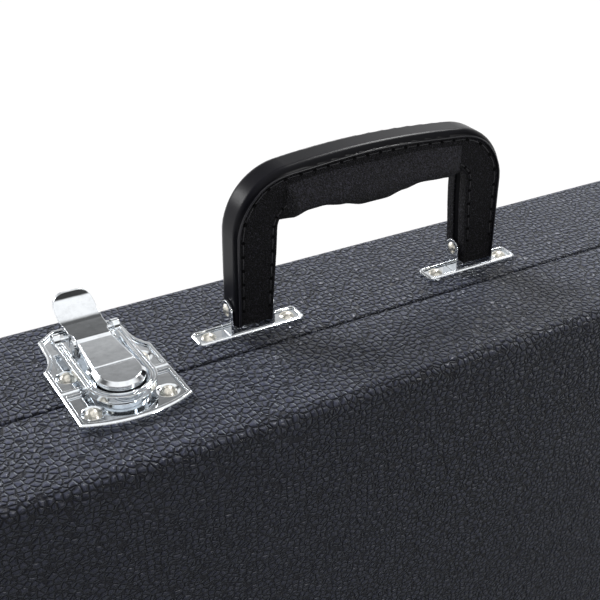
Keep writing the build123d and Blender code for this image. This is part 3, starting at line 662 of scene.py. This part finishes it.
def lined_half(name, side):
    """One half's lining: a rounded tray of plush, open at the seam."""
    sizes = bpy.context.scene.case_sizes
    low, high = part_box(name)
    lining = sizes.lining
    inner_low = Vector(low) + Vector((lining, 0 if side > 0 else lining, lining))
    inner_high = Vector(high) - Vector((lining, lining if side > 0 else 0, lining))
    rim_y, floor_y = (inner_low.y, inner_high.y) if side > 0 else (inner_high.y, inner_low.y)
    piece = add_block(name + "_plush", inner_low, inner_high)
    bevel_edges(piece, runs_along(1), sizes.corner - sizes.wall - lining, 6)
    bevel_edges(piece, lies_on(floor_y), sizes.lining_edge - lining, 3)
    choose(piece, "FACE", lies_on(rim_y))
    bpy.ops.mesh.delete(type="FACE")
    close_edit()
    use_modifier(piece, "SOLIDIFY", thickness=lining * 0.98, offset=1, use_even_offset=True)
    smooth(piece, 40)
    return piece


class CASE_OT_covering(bpy.types.Operator):
    """Wrap both case halves in pebbled leathercloth"""
    bl_idname = "case.covering"
    bl_label = "Covering"

    def execute(self, context):
        for half, side in (("tray", 1), ("lid", -1)):
            node = half + "_covering"
            piece = covered_half(node, side)
            finish_piece(piece, half, "covering", finish("pebbled_covering"), node)
        return {"FINISHED"}


class CASE_OT_lining(bpy.types.Operator):
    """Line both case halves with plush"""
    bl_idname = "case.lining"
    bl_label = "Lining"

    def execute(self, context):
        for half, side in (("tray", 1), ("lid", -1)):
            node = half + "_lining"
            piece = lined_half(node, side)
            finish_piece(piece, half, "plush", finish("plush"), node)
        return {"FINISHED"}


# Foam pads

SWELL_FRAMES = 20


def remeshed_copy(node, name, voxel):
    """A copy of a pad's solid, merged and divided into even cells."""
    copy = NODES[node].copy()
    copy.data = NODES[node].data.copy()
    bpy.context.scene.collection.objects.link(copy)
    copy.parent = None
    for key in list(copy.keys()):
        del copy[key]
    copy.hide_render = False
    copy.hide_viewport = False
    copy.name = name
    copy.data.name = name
    open_edit(copy, "VERT")
    bpy.ops.mesh.select_all(action="SELECT")
    bpy.ops.mesh.remove_doubles(threshold=0.00002)
    close_edit()
    use_modifier(copy, "REMESH", mode="VOXEL", voxel_size=voxel)
    return copy


def puff(piece, low, high, shrink, cap):
    """Swell a pad with cloth under pressure; each point stays near its start, in its space."""
    use_modifier(piece, "DISPLACE", strength=-shrink, mid_level=0)
    start = [vertex.co.copy() for vertex in piece.data.vertices]
    pick(piece)
    cloth = piece.modifiers.new("Cloth", "CLOTH")
    cloth.settings.use_pressure = True
    cloth.settings.uniform_pressure_force = 4
    cloth.settings.quality = 3
    cloth.settings.effector_weights.gravity = 0
    cloth.collision_settings.use_collision = False
    cloth.point_cache.frame_start = 1
    cloth.point_cache.frame_end = SWELL_FRAMES
    for number in range(1, SWELL_FRAMES + 1):
        bpy.context.scene.frame_set(number)
    evaluated = piece.evaluated_get(bpy.context.evaluated_depsgraph_get())
    swollen = [vertex.co.copy() for vertex in evaluated.data.vertices]
    piece.modifiers.remove(cloth)
    bpy.context.scene.frame_set(1)
    for vertex, first, last in zip(piece.data.vertices, start, swollen):
        move = last - first
        if move.length > cap:
            move *= cap / move.length
        vertex.co = first + move
    use_modifier(piece, "SUBSURF", levels=1, render_levels=1)
    for vertex in piece.data.vertices:
        vertex.co = Vector(
            min(max(value, bottom), top) for value, bottom, top in zip(vertex.co, low, high)
        )


class CASE_OT_pads(bpy.types.Operator):
    """Make the plush pads round the guitar, the neck rest and the lid pad"""
    bl_idname = "case.pads"
    bl_label = "Foam pads"

    def execute(self, context):
        sizes = context.scene.case_pads
        for node, body, fill in (("body_surround_top", "tray", 0.8),
                                 ("body_surround_bottom", "tray", 0.8),
                                 ("neck_rest", "tray", 0.8), ("lid_pad", "lid", 0.7)):
            piece = remeshed_copy(node, node + "_foam", sizes.voxel)
            low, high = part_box(node)
            puff(piece, low, high, sizes.shrink, sizes.swell)
            pick(piece)
            bpy.ops.object.shade_smooth()
            finish_piece(piece, body, "plush", finish("plush"), node)
        return {"FINISHED"}


class CASE_OT_compartment(bpy.types.Operator):
    """Make the plush-covered walls of the accessory box"""
    bl_idname = "case.compartment"
    bl_label = "Accessory box"

    def execute(self, context):
        for node in ("compartment_wall_inner", "compartment_wall_left", "compartment_wall_right"):
            low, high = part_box(node)
            piece = add_block(node + "_plush", low, high)
            bevel_edges(piece, lambda e: True, 0.0022, 4)
            smooth(piece, 60)
            finish_piece(piece, "tray", "plush", finish("plush"), node)
        return {"FINISHED"}


# Handle

LINE_CUTS = 118
STITCH_MARGIN_START = 0.0075
STITCH_MARGIN_END = 0.006
CORNER_ARM = 0.522
TOP_SLOPE = 0.077
THREAD_RADIUS = 0.00032
STITCH_LENGTH = 0.0058
HOLE_RADIUS = 0.00075
HOLE_STEPS = ((0.00018, 0.00006), (0.00020, -0.00022))
PAD_STEPS = ((0.00025, 0.0004), (0.00065, 0.0), (0.00030, -0.0005), (0.0020, 0.0004))
NARROW_FOOT = 0.885
NARROW_CORNER = 0.905
NARROW_SHOULDER = 0.80
NARROW_TOP = 0.905


def handle_path(sizes):
    """The leather's middle line as a flat curve, with height along Y."""
    corner_x = sizes.shoulder_half
    bend = sizes.bend
    reach = bend * CORNER_ARM
    slope = TOP_SLOPE
    centre_x = corner_x - bend
    end_x = centre_x + bend * slope
    end_y = sizes.bend_height + bend * (1 - slope * slope / 2)
    points = [
        ((-sizes.foot_half, sizes.leg_bottom), (0.0003, 0.012)),
        ((-corner_x, sizes.bend_height), (0.0002, reach)),
        ((-end_x, end_y), (reach, reach * slope)),
        ((0, sizes.centre_top), (end_x * 0.4, 0)),
        ((end_x, end_y), (reach, -reach * slope)),
        ((corner_x, sizes.bend_height), (-0.0002, -reach)),
        ((sizes.foot_half, sizes.leg_bottom), (-0.0003, -0.012)),
    ]
    data = bpy.data.curves.new("handle_line", "CURVE")
    data.dimensions = "2D"
    data.resolution_u = 32
    spline = data.splines.new("BEZIER")
    spline.bezier_points.add(len(points) - 1)
    for point, (place, handle) in zip(spline.bezier_points, points):
        spot = Vector((*place, 0))
        arm = Vector((*handle, 0))
        point.handle_left_type = "FREE"
        point.handle_right_type = "FREE"
        point.co = spot
        point.handle_left = spot - arm
        point.handle_right = spot + arm
    line = bpy.data.objects.new("handle_line", data)
    bpy.context.scene.collection.objects.link(line)
    return line, sum(spline.calc_length() for spline in data.splines)


def bend_to_handle(piece, line, sizes):
    """Bend a straight piece along the handle's line and stand it on the case."""
    use_modifier(piece, "CURVE", object=line, deform_axis="POS_X")
    stand = Matrix.Rotation(math.radians(90), 4, "X")
    place = Matrix.Translation((-sizes.centre_x, sizes.centre_y, sizes.top))
    piece.data.transform(place @ stand)
    return piece


def straight_bar(name, long, half_width, z_low, z_high, cuts):
    """A straight bar along X with its length divided."""
    piece = add_block(name, (0, -half_width, z_low), (long, half_width, z_high))
    divide_length(piece, cuts)
    return piece


def eased(value, stops):
    """A value between stops, with soft steps from one stop to the next."""
    if value <= stops[0][0]:
        return stops[0][1]
    for (start, first), (end, last) in zip(stops, stops[1:]):
        if value <= end:
            share = (value - start) / (end - start)
            return first + (last - first) * share * share * (3 - 2 * share)
    return stops[-1][1]


def narrow_to_line(piece, long, sizes):
    """Scale a straight piece across: the leather narrows to its feet and along the top."""
    leg = sizes.bend_height - sizes.leg_bottom
    arc = sizes.bend * 1.5
    stops = ((0, NARROW_FOOT), (leg, 1.0), (leg + arc / 2, NARROW_CORNER),
             (leg + arc, NARROW_SHOULDER), (long / 2, NARROW_TOP))
    for vertex in piece.data.vertices:
        along = min(vertex.co.x, long - vertex.co.x)
        vertex.co.y *= eased(along, stops)


def step_inwards(piece, steps):
    """Inset the top face step by step, each with its width and its rise."""
    choose(piece, "FACE", lambda f: f.normal.z > 0.9)
    for width, rise in steps:
        bpy.ops.mesh.inset(thickness=width, depth=rise)
    close_edit()


def leather_pad(name, long, sizes):
    """One leather pad of the handle, straight: a raised bead along its edge, then the face."""
    half = sizes.leather_width / 2
    front = sizes.depth / 2
    piece = straight_bar(name, long, half, front - sizes.pad_thickness, front - 0.0004,
                         LINE_CUTS)
    step_inwards(piece, PAD_STEPS)
    use_modifier(piece, "BEVEL", width=0.0009, segments=2, limit_method="ANGLE",
                 angle_limit=math.radians(60))
    use_modifier(piece, "SUBSURF", levels=1, render_levels=1)
    return piece


def stitch_thread(name):
    """A stitch at the origin: a thread that dips into the leather at both ends."""
    clear_selection()
    bpy.ops.mesh.primitive_cylinder_add(vertices=6, radius=THREAD_RADIUS, depth=STITCH_LENGTH,
                                        rotation=(0, math.radians(90), 0))
    piece = keep_place(bpy.context.object, name)
    divide_length(piece, 5, 0.001)
    for vertex in piece.data.vertices:
        dip = abs(vertex.co.x) / (STITCH_LENGTH / 2)
        vertex.co.z -= 0.00030 * dip ** 4 + 0.00026
    return piece


def stitch_hole(name):
    """A hole at the origin: a shallow dish with a rounded lip, finished near black as painted shade.
    """
    clear_selection()
    bpy.ops.mesh.primitive_cylinder_add(vertices=14, radius=HOLE_RADIUS, depth=0.0006,
                                        location=(0, 0, -0.0002))
    piece = keep_place(bpy.context.object, name)
    step_inwards(piece, HOLE_STEPS)
    return piece


def in_row(piece, across, height, pitch, start, end):
    """Copy a piece along X at an even pitch."""
    count = int((end - start) / pitch)
    piece.data.transform(Matrix.Translation((start, across, height)))
    use_modifier(piece, "ARRAY", count=count, use_relative_offset=False,
                 use_constant_offset=True, constant_offset_displace=(pitch, 0, 0))
    return piece


def turned(piece, name):
    """A copy turned half round the handle's middle plane."""
    copy = twin(piece, name)
    copy.data.transform(Matrix.Scale(-1, 4, (0, 0, 1)))
    outward(copy)
    return copy


class CASE_OT_handle_leather(bpy.types.Operator):
    """Make the handle's two leather pads, its core and its stitches"""
    bl_idname = "case.handle_leather"
    bl_label = "Handle leather"

    def execute(self, context):
        sizes = context.scene.case_handle
        line, long = handle_path(sizes)
        front = leather_pad("handle_pad_front", long, sizes)
        back = turned(front, "handle_pad_back")
        leather = join([front, back], "handle_leather_pads")
        narrow_to_line(leather, long, sizes)
        bend_to_handle(leather, line, sizes)
        outward(leather)
        smooth(leather, 60)
        finish_piece(leather, "handle", "handle_leather", finish("handle_leather"),
                     "handle_leather")

        half = sizes.leather_width / 2
        core = straight_bar("handle_core", long, half - 0.0006, -0.0032, 0.0032, LINE_CUTS)
        narrow_to_line(core, long, sizes)
        bend_to_handle(core, line, sizes)
        outward(core)
        smooth(core, 60)
        finish_piece(core, "handle", "band", finish("core_plastic"))

        bead = straight_bar("handle_bead", long, 0.0005, -0.0007, 0.0007, LINE_CUTS)
        use_modifier(bead, "BEVEL", width=0.00045, segments=3, limit_method="ANGLE",
                     angle_limit=math.radians(60))
        bead.data.transform(Matrix.Translation((0, half - 0.0001, sizes.depth / 2 + 0.0001)))
        bead = join([bead, turned(bead, "handle_bead_back")], "handle_bead")
        narrow_to_line(bead, long, sizes)
        bend_to_handle(bead, line, sizes)
        outward(bead)
        smooth(bead, 60)
        finish_piece(bead, "handle", "band", finish("glossy_lip"))

        pitch = sizes.stitch_pitch
        height = sizes.depth / 2
        for make, name, start, stuff in (
            (stitch_thread, "handle_stitches", STITCH_MARGIN_START + pitch / 2, "waxed_thread"),
            (stitch_hole, "handle_stitch_holes", STITCH_MARGIN_START, "stitch_hole"),
        ):
            rows = [in_row(make(name), across, height, pitch, start, long - STITCH_MARGIN_END)
                    for across in (-half + 0.0023, half - 0.0024)]
            row = join(rows, name)
            row = join([row, turned(row, name + "_back")], name)
            narrow_to_line(row, long, sizes)
            bend_to_handle(row, line, sizes)
            outward(row)
            smooth(row, 60)
            finish_piece(row, "handle", "handle_leather", finish(stuff))
        bpy.data.objects.remove(line)
        return {"FINISHED"}


GRIP_SIDES = 88
GRIP_CUTS = 119

# Height of the grip's underside at places along it, both in millimetres
GRIP_UNDERSIDE = ((-53, 57.5), (-49, 54.6), (-44, 55.4), (-37, 57.6), (-30, 57.9), (-19, 56.2),
                  (-8, 53.9), (4, 54.0), (14, 56.2), (24, 57.9), (36, 57.3), (46, 56.6))


def grip_place(x, across, up, sizes):
    """A point on the grip from its place along it and its place round a unit section."""
    here = x * 1000
    bottom = eased(here, GRIP_UNDERSIDE) / 1000
    top = 0.0786 - 0.0000013 * here ** 2
    height = (up + 1) / 2
    lean = eased(height, ((0.22, 1.0), (1.0, 0.66)))
    from_left = x + sizes.grip_left
    from_right = sizes.grip_right - x
    left_run = 0.0010 + 0.0046 * (1 - height)
    right_run = 0.007 + 0.003 * (1 - height)
    pulled = min(0.58 + 0.42 * min(1.0, from_left / left_run),
                 eased(from_right / right_run, ((0.0, 0.62), (1.0, 1.0))))
    depth = sizes.grip_width / 2 * min(lean, pulled)
    spread_left = 0.0038 * max(0.0, 1 - height * 2.6) ** 1.5 * max(0.0, 1 - from_left / 0.012)
    return Vector((x - spread_left - sizes.centre_x, across * depth + sizes.centre_y,
                   bottom + (top - bottom) * height + sizes.top))


class CASE_OT_grip(bpy.types.Operator):
    """Make the padded grip with its finger waves and the folds at its ends"""
    bl_idname = "case.grip"
    bl_label = "Handle grip"

    def execute(self, context):
        sizes = context.scene.case_handle
        long = sizes.grip_left + sizes.grip_right
        clear_selection()
        bpy.ops.mesh.primitive_cylinder_add(vertices=GRIP_SIDES, radius=1, depth=long,
                                            end_fill_type="NGON",
                                            rotation=(0, math.radians(90), 0))
        piece = keep_place(bpy.context.object, "handle_grip_wrap")
        divide_length(piece, GRIP_CUTS)
        middle = (sizes.grip_right - sizes.grip_left) / 2
        for vertex in piece.data.vertices:
            x = vertex.co.x + middle
            across = math.copysign(abs(vertex.co.y) ** 0.5, vertex.co.y)
            up = math.copysign(abs(vertex.co.z) ** 0.5, vertex.co.z)
            vertex.co = grip_place(x, across, up, sizes)
        smooth(piece, 50)
        finish_piece(piece, "handle", "handle_leather", finish("grip_leather"), "handle_grip")
        return {"FINISHED"}


# Rigid CAD pieces

class CASE_OT_hard_finishes(bpy.types.Operator):
    """Give the metal, plastic, rubber and board pieces their materials"""
    bl_idname = "case.hard_finishes"
    bl_label = "Hard finishes"

    def execute(self, context):
        table = (
            ("latch_rivets", "warm_rivet"),
            ("bracket_rivets", "warm_rivet"),
            ("hinge_rivets", "warm_rivet"),
            ("latch_", "bright_chrome"),
            ("handle_bracket", "bright_chrome"),
            ("handle_pivot", "warm_rivet"),
            ("handle_band", "handle_band"),
            ("handle_leather", "handle_leather"),
            ("handle_grip", "handle_leather"),
            ("hinge_", "bright_chrome"),
            ("tray_foot_screws", "zinc_screw"),
            ("lid_foot_screws", "zinc_screw"),
            ("tray_foot", "rubber"),
            ("lid_foot", "rubber"),
            ("tray_shell", "plywood"),
            ("lid_shell", "plywood"),
            ("tray_covering", "pebbled_covering"),
            ("lid_covering", "pebbled_covering"),
        )
        for name, node in NODES.items():
            found = [material for start, material in table if name.startswith(start)]
            material = finish(found[0] if found else "plush")
            if not node.material_slots:
                node.data.materials.append(material)
            for place in node.material_slots:
                place.material = material
        return {"FINISHED"}


# Studio

# Each lamp's name, direction, strength, spread in degrees, and the kind of ray that it is hidden from
LAMPS = (
    ("lamp_back", (-0.35, 0.62, 0.70), 3.25, 32, "visible_glossy"),
    ("lamp_low", (0.45, -0.80, 0.30), 1.1, 8, "visible_diffuse"),
    ("lamp_edge", (-0.54, 0.78, 0.30), 0.8, 14, "visible_diffuse"),
    ("lamp_right", (0.55, 0.45, 0.70), 1.9, 16, "visible_diffuse"),
)
FLOOR_SIZE = 24
FLOOR_BOUNCE = 0.22
SKY_LOW = 0.10
SKY_RISE = 0.42


def soft_sun(name, way, strength, spread):
    """A broad soft lamp that shines evenly from one side."""
    data = bpy.data.lights.new(name, "SUN")
    data.energy = strength
    data.angle = math.radians(spread)
    lamp = bpy.data.objects.new(name, data)
    bpy.context.scene.collection.objects.link(lamp)
    lamp.rotation_euler = Vector(way).to_track_quat("Z", "Y").to_euler()
    return lamp


class CASE_OT_studio(bpy.types.Operator):
    """Set the floor, the soft lamps, the white surroundings and the camera"""
    bl_idname = "case.studio"
    bl_label = "Studio"

    def execute(self, context):
        scene = context.scene
        sizes = scene.case_studio
        clear_selection()
        bpy.ops.mesh.primitive_plane_add(size=FLOOR_SIZE, location=(0, 0, 0))
        floor = keep_place(bpy.context.object, "studio_floor")
        material, graph = new_graph("studio_floor")
        path = graph.add("ShaderNodeLightPath", {}, {}, "Is Camera Ray")
        seen_ray = path.larger(path.part("Is Glossy Ray")).larger(path.part("Is Transmission Ray"))
        mottle = graph.noise(graph.place(), 3, 2.0)
        tone = scene.case_finishes.floor
        seen = graph.blend(mottle, tone, shade(tone, 1.01))
        colour_now = graph.blend(seen_ray, shade(tone, FLOOR_BOUNCE), seen)
        diffuse = graph.add("ShaderNodeBsdfDiffuse", {}, {"Color": colour_now})
        graph.add("ShaderNodeOutputMaterial", {}, {"Surface": diffuse})
        floor.data.materials.append(material)

        world = bpy.data.worlds.new("studio_air")
        scene.world = world
        graph = Graph(world)
        path = graph.add("ShaderNodeLightPath", {}, {}, "Is Camera Ray")
        straight = path.larger(path.part("Is Transmission Ray"))
        way = graph.add("ShaderNodeTexCoord", {}, {}, "Generated")
        rise = graph.add("ShaderNodeSeparateXYZ", {}, {"Vector": way}, "Z")
        front = graph.spread(rise.part("Y"), -0.40, -0.05, 1.0, 0.0)
        back_sky = (graph.spread(rise, 0.40, 0.62, 1.0, 0.12)
                    + graph.spread(rise, 0.70, 0.86, 0, 1.0))
        front_sky = (graph.spread(rise, 0.04, 0.14, 1.0, 0.04)
                     + graph.spread(rise, 0.50, 0.66, 0, 1.1))
        glossy = path.part("Is Glossy Ray")
        soft_sky = SKY_LOW + rise.larger(0.0) * SKY_RISE
        mirrored = back_sky * (1 - front) + front_sky * front
        level = soft_sky * (1 - glossy) + mirrored * glossy
        level = straight + (1 - straight) * level
        air = graph.add("ShaderNodeBackground", {}, {"Color": (1.0, 1.0, 1.0), "Strength": level})
        graph.add("ShaderNodeOutputWorld", {}, {"Surface": air})

        for name, way, strength, spread, ray in LAMPS:
            setattr(soft_sun(name, way, strength, spread), ray, False)

        back = Vector((math.sin(sizes.azimuth) * math.cos(sizes.elevation),
                       -math.cos(sizes.azimuth) * math.cos(sizes.elevation),
                       math.sin(sizes.elevation)))
        right = (-back).cross(Vector((0, 0, 1))).normalized()
        up = back.cross(right)
        turn_cos = math.cos(sizes.roll)
        turn_sin = math.sin(sizes.roll)
        level_right = right * turn_cos + up * turn_sin
        level_up = up * turn_cos - right * turn_sin
        data = bpy.data.cameras.new("photo_camera")
        data.lens = sizes.lens
        data.sensor_width = 36
        data.clip_start = 0.01
        camera = bpy.data.objects.new("photo_camera", data)
        scene.collection.objects.link(camera)
        pose = Matrix((level_right, level_up, back)).transposed().to_4x4()
        camera.matrix_world = Matrix.Translation(Vector(sizes.camera)) @ pose
        scene.camera = camera
        scene.view_settings.view_transform = "Standard"
        return {"FINISHED"}


class CASE_PT_panel(bpy.types.Panel):
    """Lists the pieces of the case in the sidebar"""
    bl_idname = "CASE_PT_panel"
    bl_label = "Guitar case"
    bl_space_type = "VIEW_3D"
    bl_region_type = "UI"
    bl_category = "Guitar Case"

    def draw(self, context):
        layout = self.layout
        for group in ("case_sizes", "case_handle", "case_pads", "case_finishes", "case_studio"):
            box = layout.box()
            for name in getattr(context.scene, group).__annotations__:
                box.prop(getattr(context.scene, group), name)
        for step in STEPS:
            layout.operator(step.bl_idname)


GROUPS = (
    ("case_sizes", CaseSizes),
    ("case_handle", HandleSizes),
    ("case_pads", PadSizes),
    ("case_finishes", Finishes),
    ("case_studio", StudioSizes),
)
STEPS = (
    CASE_OT_studio,
    CASE_OT_hard_finishes,
    CASE_OT_covering,
    CASE_OT_lining,
    CASE_OT_handle_leather,
    CASE_OT_grip,
    CASE_OT_compartment,
    CASE_OT_pads,
)


def register():
    """Register the classes and put the sizes on the scene."""
    for _, group in GROUPS:
        bpy.utils.register_class(group)
    for name, group in GROUPS:
        setattr(bpy.types.Scene, name, PointerProperty(type=group))
    for step in STEPS:
        bpy.utils.register_class(step)
    bpy.utils.register_class(CASE_PT_panel)


def unregister():
    """Take the classes and sizes away again."""
    bpy.utils.unregister_class(CASE_PT_panel)
    for step in reversed(STEPS):
        bpy.utils.unregister_class(step)
    for name, group in reversed(GROUPS):
        delattr(bpy.types.Scene, name)
        bpy.utils.unregister_class(group)


def main():
    """Make every piece in order."""
    register()
    for step in STEPS:
        family, action = step.bl_idname.split(".")
        getattr(getattr(bpy.ops, family), action)()
    clear_selection()


if __name__ == "__main__":
    main()
